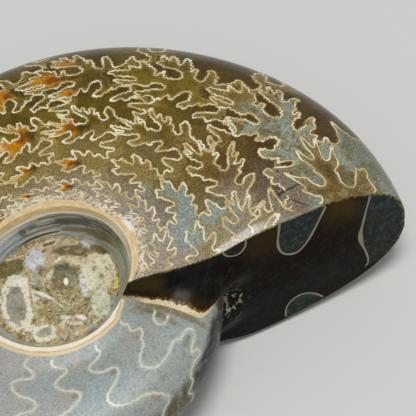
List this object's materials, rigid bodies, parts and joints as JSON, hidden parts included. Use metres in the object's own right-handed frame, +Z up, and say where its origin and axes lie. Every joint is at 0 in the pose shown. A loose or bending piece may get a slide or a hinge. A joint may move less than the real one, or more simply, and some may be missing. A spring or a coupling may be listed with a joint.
{
  "type": "polished ammonite fossil",
  "caption": "Polished ammonite fossil lying on its flank, both flanks domed, with a sunken umbilicus and one ground end face.",
  "frame": {"origin": "centre of the bounding box on the surface that the fossil lies on", "axes": "+Z up, through the fossil's thickness; +X along its longest extent, towards the ground end of the last whorl"},
  "size_m": [0.1004, 0.0822, 0.0245],
  "materials": {
    "polished_fossil": "polished olive-brown calcite with cream suture lines, amber and blue-grey patches"
  },
  "bodies": {
    "root": {"ammonite": "polished_fossil"}
  },
  "joints": []
}
